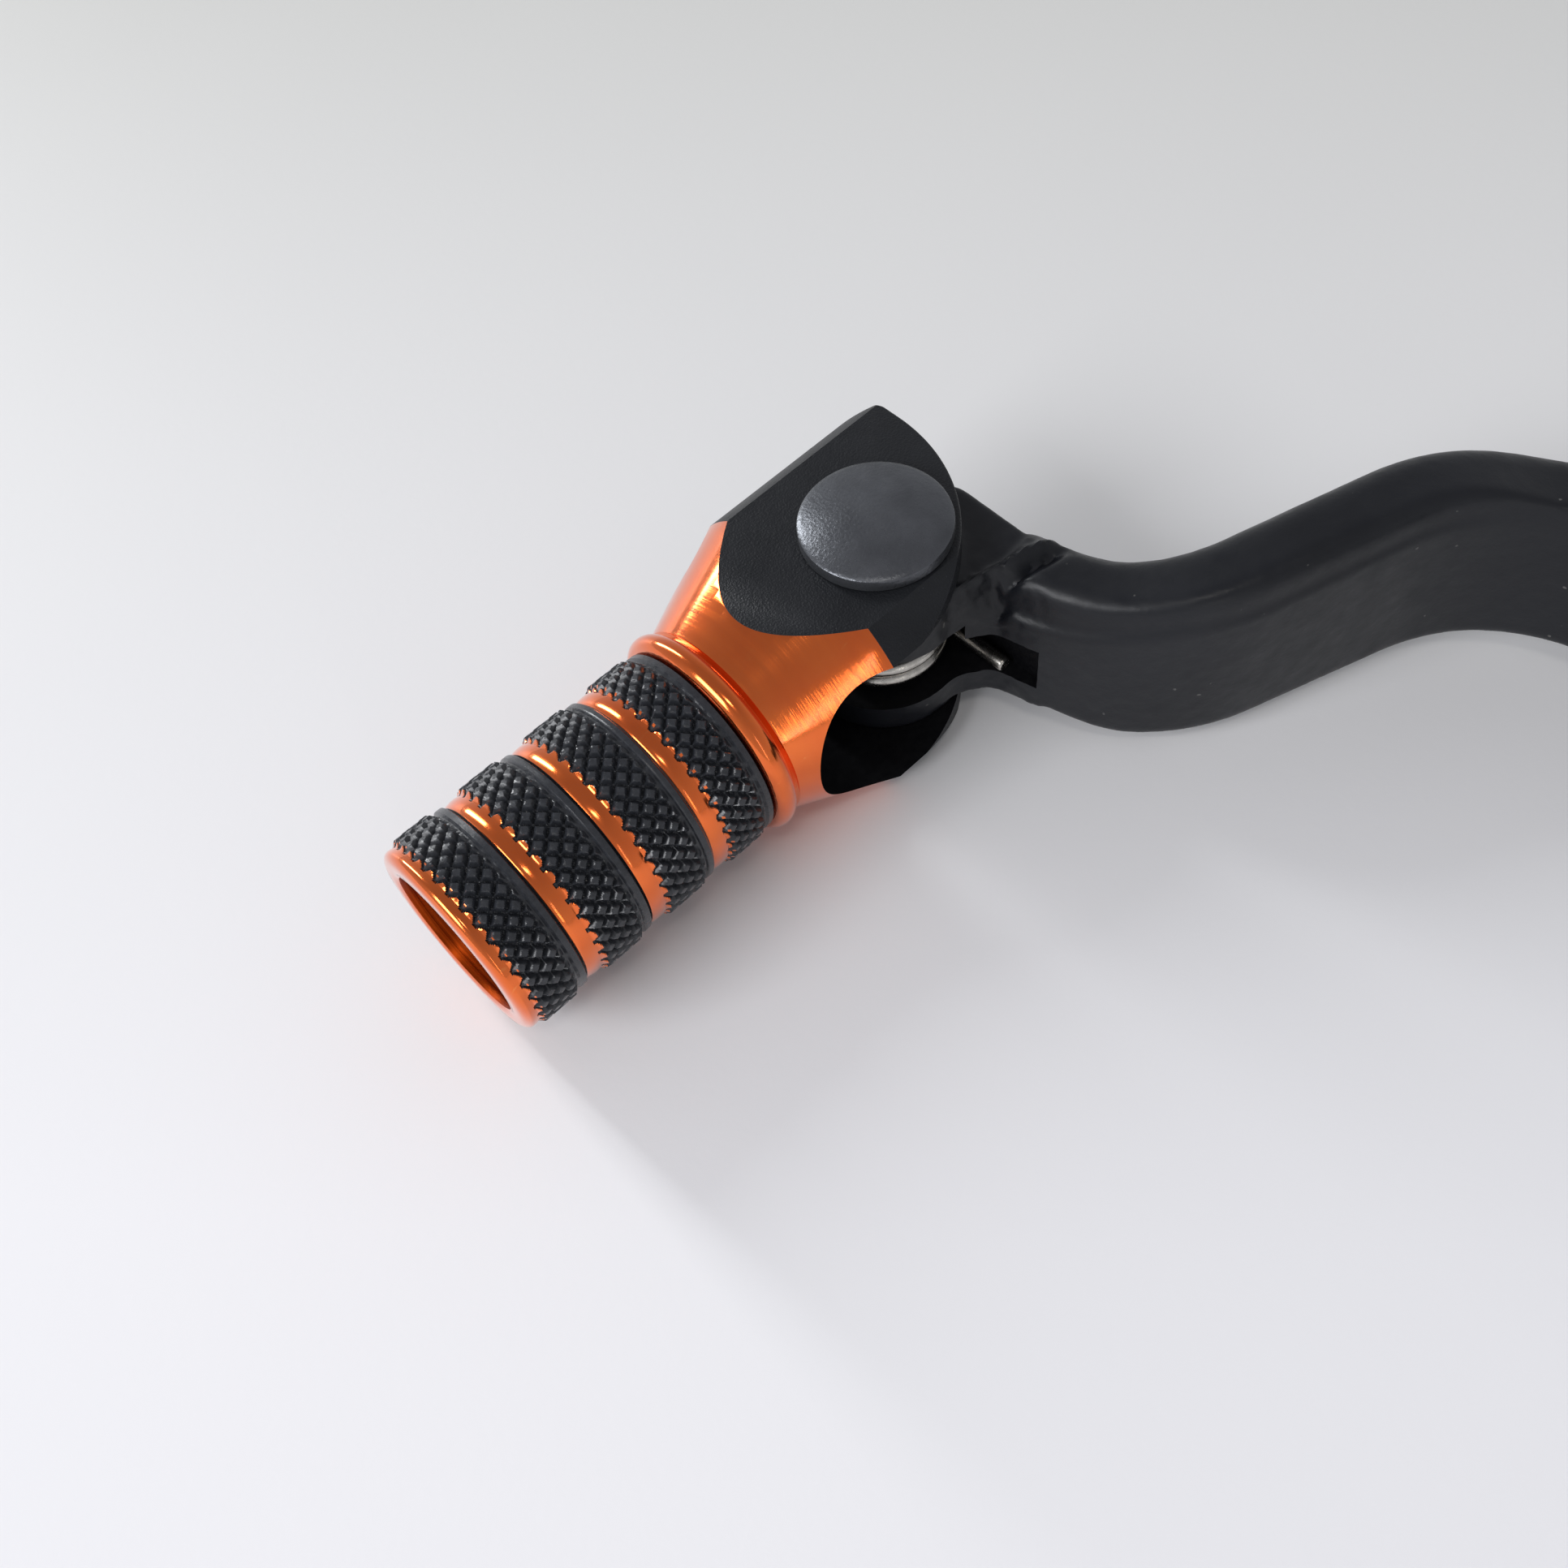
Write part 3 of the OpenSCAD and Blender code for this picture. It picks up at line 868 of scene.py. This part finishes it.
def retaining_screw():
    low = -FLAT_H + 0.05
    head = [(low, 0), (low, SCREW_R - 0.4), (low + 0.12, SCREW_R - 0.12), (low + 0.35, SCREW_R)]
    head += [(low + 0.95, SCREW_R), (low + 1.04, SCREW_R - 0.1), (low + 1.05, 1.4), (low + 1.06, 0)]
    screw = lathe("tip_screw", head, HINGE @ X_TO_Z, [OXIDE], 96)
    carve(screw, threaded_rod("thread", low + 0.9, low + 7, 1.5, 0.5, HINGE, [OXIDE]), "UNION")
    carve(screw, socket_tool("hex", 2.08, low - 1, low + 0.8, HINGE))
    place_on(screw, "tip", "black_screw", "retaining_screw")


# ---------------------------------------------------------------------------
# Torsion spring: the coil and arm leg stay, the other leg folds with the tip
# ---------------------------------------------------------------------------
TIP_OVERLAP = 0.2


def on_coil(turn):
    angle = 2 * math.pi * turn
    return (-COIL_R * math.cos(angle), -COIL_R * math.sin(angle), COIL_LOW + COIL_PITCH * turn)


def torsion_spring():
    steps = 64
    coil_turns = COIL_TURNS - 0.25
    leg = [(-COIL_R, ARM_LEG * (1 - i / 8), COIL_LOW) for i in range(8)]
    coil = [on_coil(i / steps) for i in range(int(coil_turns * steps) + 1)]
    spring = wire("spring_coil", leg + coil, WIRE_R, HINGE, [SPRING])
    place_on(spring, "arm", "spring_steel", "torsion_spring")
    start = coil_turns - TIP_OVERLAP
    count = int((COIL_TURNS - start) * steps)
    bend = [on_coil(start + (COIL_TURNS - start) * i / count) for i in range(count + 1)]
    run = [(TIP_LEG * i / 8, -COIL_R, bend[-1][2]) for i in range(1, 9)]
    tip_leg = wire("spring_leg", bend + run, WIRE_R * 0.985, HINGE, [SPRING])
    crisp(tip_leg)
    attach(tip_leg, "tip")


# ---------------------------------------------------------------------------
# Forged arm
# ---------------------------------------------------------------------------
VOXEL = 0.24
SMOOTHING_ROUNDS = 7
ROOT_STEPS = 54
BEND_STEPS = 24
GAP_BACK = -5.05
GAP_SIDE = 12
GAP_CORNER = 0.6
NECK_FROM = (0.2, 6.9)
NECK_TO = (-8.6, 9.0)
LOW_EDGE = [(0, -8.6), (30, -9.8), (70, -10.6), (93, -10.6), (101, -11.4), (105, -11.4), (110, -10.3)]
CREST = [(0, 6.4), (60, 3.8), (84, 2.4), (90, 2.8), (97, 4.3), (108, 2.2)]
LEDGE = [(86, 0.12), (100, 0.24), (107, 0.42)]
CREASE = [(0, 4.4), (60, 2.4), (84, 1.3), (91, 1.9), (97, 1.6), (102, 0.5), (110, -1.2)]


def facing(heading):
    return Vector((math.cos(heading), math.sin(heading)))


def on_bend(centre, radius, heading):
    return centre + radius * Vector((math.sin(heading), -math.cos(heading)))


def centre_line():
    """(point, heading, thickness) along the arm, from inside the boss to inside the head."""
    stations = []
    root_end = on_bend(BEND_A_C, BEND_A_R, ROOT_ANGLE)
    away = facing(ROOT_ANGLE)
    for i in range(ROOT_STEPS):
        share = i / ROOT_STEPS
        thick = ARM_ROOT_T + (ARM_T - ARM_ROOT_T) * share
        stations.append((root_end - away * ROOT_RUN * (1 - share), ROOT_ANGLE, thick))
    for i in range(BEND_STEPS + 1):
        heading = ROOT_ANGLE + (JOGGLE_ANGLE - ROOT_ANGLE) * i / BEND_STEPS
        stations.append((on_bend(BEND_A_C, BEND_A_R, heading), heading, ARM_T))
    for i in range(BEND_STEPS + 1):
        heading = JOGGLE_ANGLE + (HEAD_ANGLE - JOGGLE_ANGLE) * i / BEND_STEPS
        stations.append((on_bend(BEND_B_C, -BEND_B_R, heading), heading, ARM_T))
    head = stations[-1][0]
    for i in range(1, 4):
        stations.append((head + i * facing(HEAD_ANGLE), HEAD_ANGLE, ARM_T))
    return stations


def arm_section(x, thick):
    """The forged section as (outboard, height) points: flat band, ledge, and a round rib above."""
    near = thick / 2
    low = eased(x, LOW_EDGE)
    crest = eased(x, CREST)
    crease = eased(x, CREASE)
    step = eased(x, LEDGE)
    return rounded([(near, low, 0.8), (near, crease, 0.25), (near - step, crease + 0.4, 0.6),
                    (near - step - 0.1, crest, 2.8), (-near, crest - 0.2, 2.3), (-near, low, 1.5)], 6)


def arm_blank():
    rings = []
    for point, heading, thick in centre_line():
        out = Vector((-math.sin(heading), math.cos(heading)))
        section = arm_section(point.x, thick)
        rings.append([(point.x + n * out.x, point.y + n * out.y, z) for n, z in section])
    points, faces = stacked(rings)
    return make("shift_arm", points, faces, ORIGIN, [FORGING])


def head_blanks():
    """Round lugs with a square stop corner, the shoulder, and the neck's lower band."""
    lug = rounded([(7.4, -LUG_R + AXIS_OFFSET, 0.35), (7.4, AXIS_OFFSET, 0.3), (LUG_R, AXIS_OFFSET, 0)], 3)
    lug += arc((0, AXIS_OFFSET), LUG_R, 2, 268, 60)
    shoulder = rounded([(0, 6.9, 0.5), (-1.4, 7.35, 0.5), (-8.35, 9.0, 0.9), (-8.45, 0.4, 1.4),
                        (-5.5, -0.8, 0.5), (0, 0, 0)], 5)
    neck = rounded([(0, 6.6, 0), (-1.3, 7.15, 1.2), (-3.5, 8.6, 1.5), (-4.5, 12.5, 0.8), (-9.9, 13.9, 0.8),
                    (-9.0, 11, 2.0), (-8.4, 8, 1.5), (-8.4, 2, 0), (0, 2, 0)], 5)
    return [prism("lug", lug, -HEAD_H + 0.02, HEAD_H - 0.02, TIP, [FORGING], bevel=0.35),
            prism("shoulder", shoulder, -HEAD_H + 0.05, HEAD_H - 0.22, TIP, [FORGING], bevel=0.5),
            prism("neck", neck, -HEAD_H + 0.1, 3.2, TIP, [FORGING], bevel=0.4)]


def boss_blanks():
    half = BOSS_W / 2 - 0.02
    barrel = [(-half, 0), (-half, BOSS_R - 1.1), (-half + 0.3, BOSS_R - 0.45), (-half + 0.9, BOSS_R - 0.1)]
    barrel += [(half - 0.9, BOSS_R - 0.1), (half - 0.3, BOSS_R - 0.45), (half, BOSS_R - 1.1), (half, 0)]
    clamp_end = -PINCH_X - 6.35
    clamp = rounded([(clamp_end, -7.45, 2.5), (0, -7.45, 0), (0, 7.45, 0), (clamp_end, 7.45, 2.5)], 6)
    return [lathe("barrel", barrel, X_TO_Y, [FORGING], 128),
            prism("clamp", clamp, -9.45, 9.45, ORIGIN, [FORGING], bevel=0.9)]


def forge(blanks):
    """Melts the blanks into one skin with small fillets, as a forging has."""
    arm = blanks[0]
    for other in blanks[1:]:
        carve(arm, other, "UNION")
    skin = arm.modifiers.new("skin", "REMESH")
    skin.mode = "VOXEL"
    skin.voxel_size = VOXEL * MM
    smooth = arm.modifiers.new("smooth", "SMOOTH")
    smooth.factor = 0.5
    smooth.iterations = SMOOTHING_ROUNDS
    settle(arm)
    return arm


def across_line(points, a, b):
    """Signed distance from a line in plan, and how far along it each point lies from 0 to 1."""
    run = b - a
    length = float(np.linalg.norm(run))
    along = ((points - a) @ run) / length ** 2
    normal = np.array([-run[1], run[0]]) / length
    return (points - a) @ normal, along


def forge_marks(arm):
    """Moves the skin where the dies left a ridge, a groove and rough metal at the neck.

    The skin between the fork's ears stays under a ceiling, so that the tip can fold over it.
    """
    mesh = arm.data
    co = np.zeros(len(mesh.vertices) * 3)
    mesh.vertices.foreach_get("co", co)
    co = co.reshape(-1, 3) / MM
    local = (co - np.array(TIP.translation)) @ np.array(TIP.to_3x3())
    plan = local[:, :2]
    high = np.clip((local[:, 2] - 0.5) / 2.5, 0, 1)
    off, along = across_line(plan, np.array(NECK_FROM), np.array(NECK_TO))
    inside = np.clip((along + 0.15) * 6, 0, 1) * np.clip((1.1 - along) * 6, 0, 1)
    ridge = 0.4 * np.exp(-((off - 0.1) / 0.32) ** 2)
    groove = -0.85 * np.exp(-((off + 1.0) / 0.5) ** 2)
    rough = np.array([noise.noise(Vector(p) * 1.1) for p in local])
    fine = np.array([noise.noise(Vector(p) * 2.6) for p in local])
    near_neck = np.exp(-((plan[:, 0] + 4) / 5.5) ** 2 - ((plan[:, 1] - 8.5) / 3.2) ** 2)
    raised = co[:, 2] + high * inside * (ridge + groove) * (1 + 0.35 * rough)
    ceiling = TIP.translation.z + SLOT_H - 0.14
    co[:, 2] = np.where(local[:, 2] < HEAD_H, np.minimum(raised, ceiling), raised)
    normals = np.zeros(len(mesh.vertices) * 3)
    mesh.vertices.foreach_get("normal", normals)
    lift = near_neck * (0.06 * rough + 0.05 * fine - 0.07) + 0.015 * rough
    co += normals.reshape(-1, 3) * lift[:, None]
    mesh.vertices.foreach_set("co", (co * MM).ravel())
    mesh.update()


def spline_outline():
    outline = []
    for i in range(SPLINE_COUNT):
        middle = 2 * math.pi * (i + 0.5) / SPLINE_COUNT
        step = math.pi / SPLINE_COUNT
        for turn, radius in ((-0.75, SPLINE_R), (-0.12, SPLINE_R + SPLINE_DEPTH),
                             (0.12, SPLINE_R + SPLINE_DEPTH), (0.75, SPLINE_R), (1.0, SPLINE_R)):
            angle = middle + turn * step
            outline.append((radius * math.cos(angle), radius * math.sin(angle)))
    return outline


def machine(arm):
    """The cuts made after forging: hinge gap, bores, seats, splines, slit and bolt hole."""
    back = (GAP_BACK, GAP_SIDE, GAP_CORNER)
    gap = rounded([back, (GAP_BACK, -20, 0), (35, -20, 0), (35, GAP_SIDE, 0)], 4)
    # the cut faces of the gap and leg relief take the near-black slot colour, painted shade
    carve(arm, prism("gap", gap, -GAP_H, 0, TIP, [SHADOWED]))
    relief = rounded([back, (GAP_BACK, 1, 0), (12, 1, 0), (12, GAP_SIDE, 0)], 4)
    carve(arm, prism("leg_relief", relief, -1, 0.55, TIP, [SHADOWED]))
    undercut = [(-0.6, 4.0), (0.75, 4.5), (2.0, 6.5), (-0.6, 6.5)]
    carve(arm, ring_solid("undercut", undercut, HINGE @ X_TO_Z, [FORGING]))
    seat = HEAD_H - SEAT_DEPTH
    bore = [(-20, 0), (-20, WASHER_R + 0.15), (-seat, WASHER_R + 0.15), (-seat, SLEEVE_R)]
    bore += [(seat, SLEEVE_R), (seat, WASHER_R + 0.15), (20, WASHER_R + 0.15), (20, 0)]
    carve(arm, lathe("hinge_bore", bore, HINGE @ X_TO_Z, [FORGING], 96))
    level = Matrix.Rotation(QUARTER, 4, "X")
    carve(arm, prism("splines", spline_outline(), -12, 12, level, [FORGING]))
    slit = [(-30, -10), (0, -10), (0, 10), (-30, 10)]
    carve(arm, prism("slit", slit, -SLIT_W / 2, SLIT_W / 2, ORIGIN, [FORGING]))
    bolt = [(-20, 0), (-20, PINCH_R), (0, PINCH_R), (0, PINCH_R + 0.25), (8.5, PINCH_R + 0.25)]
    bolt += [(8.5, 6), (20, 6), (20, 0)]
    carve(arm, lathe("bolt_hole", bolt, PINCH @ X_TO_Z, [FORGING], 64))


def lever_arm():
    arm = forge([arm_blank()] + head_blanks() + boss_blanks())
    forge_marks(arm)
    machine(arm)
    place_on(arm, "arm", "black_arm", "lever_arm")


# ---------------------------------------------------------------------------
# Pinch bolt and its washer
# ---------------------------------------------------------------------------
def pinch_bolt():
    """A socket cap bolt with a serrated head."""
    head_r = 4.9
    head = [(9.51, 0), (9.51, head_r - 0.25), (9.7, head_r), (12.9, head_r), (13.3, head_r - 0.2),
            (13.5, head_r - 0.6), (13.5, 0)]
    bolt = lathe("clamp_bolt", head, PINCH @ X_TO_Z, [STEEL], 144)
    grips = 36
    for i in range(grips):
        angle = 2 * math.pi * i / grips
        flute = Matrix.Translation((head_r * math.cos(angle), head_r * math.sin(angle), 0))
        round_tool = [(9.9, 0), (9.9, 0.1), (10.0, 0.2), (12.5, 0.2), (12.8, 0.05), (12.8, 0)]
        carve(bolt, lathe("flute", round_tool, PINCH @ flute @ X_TO_Z, [STEEL], 8))
    carve(bolt, threaded_rod("thread", -8.9, 9.6, PINCH_R - 0.02, 1.0, PINCH, [STEEL]), "UNION")
    carve(bolt, socket_tool("hex", 5.02, 11, 20, PINCH))
    place_on(bolt, "arm", "steel", "pinch_bolt")
    washer = soft_ring("clamp_washer", 8.5, 9.5, PINCH_R + 0.2, 5.6, 0.18, [STEEL], PINCH)
    place_on(washer, "arm", "steel", "pinch_washer")


# ---------------------------------------------------------------------------
# Floor, light and camera
# ---------------------------------------------------------------------------
FLOOR_REACH = 8
FAR_SIDE = (0.685, -0.728, 0)


def floor():
    """A pale matt table whose colour grows a little darker towards the far side: painted shade where less
    light reaches it.
    """
    finish = Finish("pale_table", (0.8, 0.8, 0.8), 0.0, 0.55)
    mottle = finish.noise(9, 3.0, 0.5)
    grain = finish.noise(1500, 3.0, 0.6)
    near = finish.two_tone(mottle, (0.86, 0.855, 0.875), (0.88, 0.875, 0.89))
    # far: painted shade, a darker table colour where the light falls off
    far = finish.two_tone(mottle, (0.6, 0.6, 0.575), (0.62, 0.62, 0.595))
    away = finish.node("ShaderNodeVectorMath", operation="DOT_PRODUCT")
    away.inputs[1].default_value = FAR_SIDE
    finish.wire(finish.where, away.inputs[0])
    finish.colour(finish.blend(finish.remap(away.outputs["Value"], 0.01, 0.16, 0, 1), near, far))
    finish.set("Specular IOR Level", 0.15)
    finish.bump(grain, 0.01)
    reach = FLOOR_REACH / MM
    corners = [(x * reach, y * reach, FLOOR_Z / MM) for x, y in ((-1, -1), (1, -1), (1, 1), (-1, 1))]
    table = make("table", corners, [(0, 1, 2, 3)], ORIGIN, [finish.material])


def soft_light(name, direction, distance, size, power, colour):
    """An area light that faces the hinge from a direction."""
    data = bpy.data.lights.new(name, "AREA")
    data.shape = "RECTANGLE"
    data.size = size[0]
    data.size_y = size[1]
    data.energy = power
    data.color = colour
    lamp = bpy.data.objects.new(name, data)
    towards = Vector(direction).normalized()
    target = HINGE_POINT * MM
    lamp.location = target + towards * distance
    lamp.rotation_euler = (-towards).to_track_quat("-Z", "Y").to_euler()
    bpy.context.scene.collection.objects.link(lamp)


def lights():
    soft_light("window", (0.1, 0.85, 0.62), 0.9, (0.5, 0.34), 4.9, (0.96, 0.97, 1.0))
    soft_light("side_window", (0.9, 0.05, 0.44), 0.8, (0.11, 0.5), 3.2, (0.96, 0.98, 1.0))
    soft_light("far_strip", (-0.9, 0.38, 0.26), 0.8, (0.02, 0.36), 0.16, (1.0, 0.98, 0.95))
    soft_light("ceiling_lamp", (-0.35, 0.25, 1.0), 1.1, (0.2, 0.12), 0.8, (1.0, 0.96, 0.9))
    world = bpy.data.worlds.new("studio")
    bpy.context.scene.world = world
    world.use_nodes = True
    tree = world.node_tree
    back = tree.nodes["Background"]
    where = tree.nodes.new("ShaderNodeTexCoord")
    split = tree.nodes.new("ShaderNodeSeparateXYZ")
    ramp = tree.nodes.new("ShaderNodeValToRGB")
    tree.links.new(where.outputs["Generated"], split.inputs["Vector"])
    tree.links.new(split.outputs["Z"], ramp.inputs["Fac"])
    tree.links.new(ramp.outputs["Color"], back.inputs["Color"])
    ramp.color_ramp.elements[0].position = 0.0
    ramp.color_ramp.elements[0].color = (0.6, 0.61, 0.63, 1)
    ramp.color_ramp.elements[1].position = 0.9
    ramp.color_ramp.elements[1].color = (0.33, 0.33, 0.35, 1)
    back.inputs["Strength"].default_value = 0.92


CAMERA_FROM_HINGE = Vector((-52.524, 47.718, 90.931))
CAMERA_LOOKS_AT = Vector((-5.34, 14.548, 0.0))
CAMERA_ROLL = math.radians(-9.876)
CAMERA_LENS = 37.4


def camera():
    data = bpy.data.cameras.new("photo_view")
    data.lens = CAMERA_LENS
    data.sensor_width = 36
    data.clip_start = 0.005
    eye = bpy.data.objects.new("photo_view", data)
    forward = (CAMERA_LOOKS_AT - CAMERA_FROM_HINGE).normalized()
    turned = forward.to_track_quat("-Z", "Y").to_matrix() @ Matrix.Rotation(CAMERA_ROLL, 3, "Z")
    place = turned.to_4x4()
    place.translation = (HINGE_POINT + CAMERA_FROM_HINGE) * MM
    eye.matrix_world = place
    bpy.context.scene.collection.objects.link(eye)
    bpy.context.scene.camera = eye


def look():
    view = bpy.context.scene.view_settings
    view.view_transform = "Standard"
    view.look = "None"
    view.exposure = 0.0


folding_tip()
pivot_pin()
hinge_rings()
retaining_screw()
torsion_spring()
lever_arm()
pinch_bolt()
floor()
lights()
camera()
look()
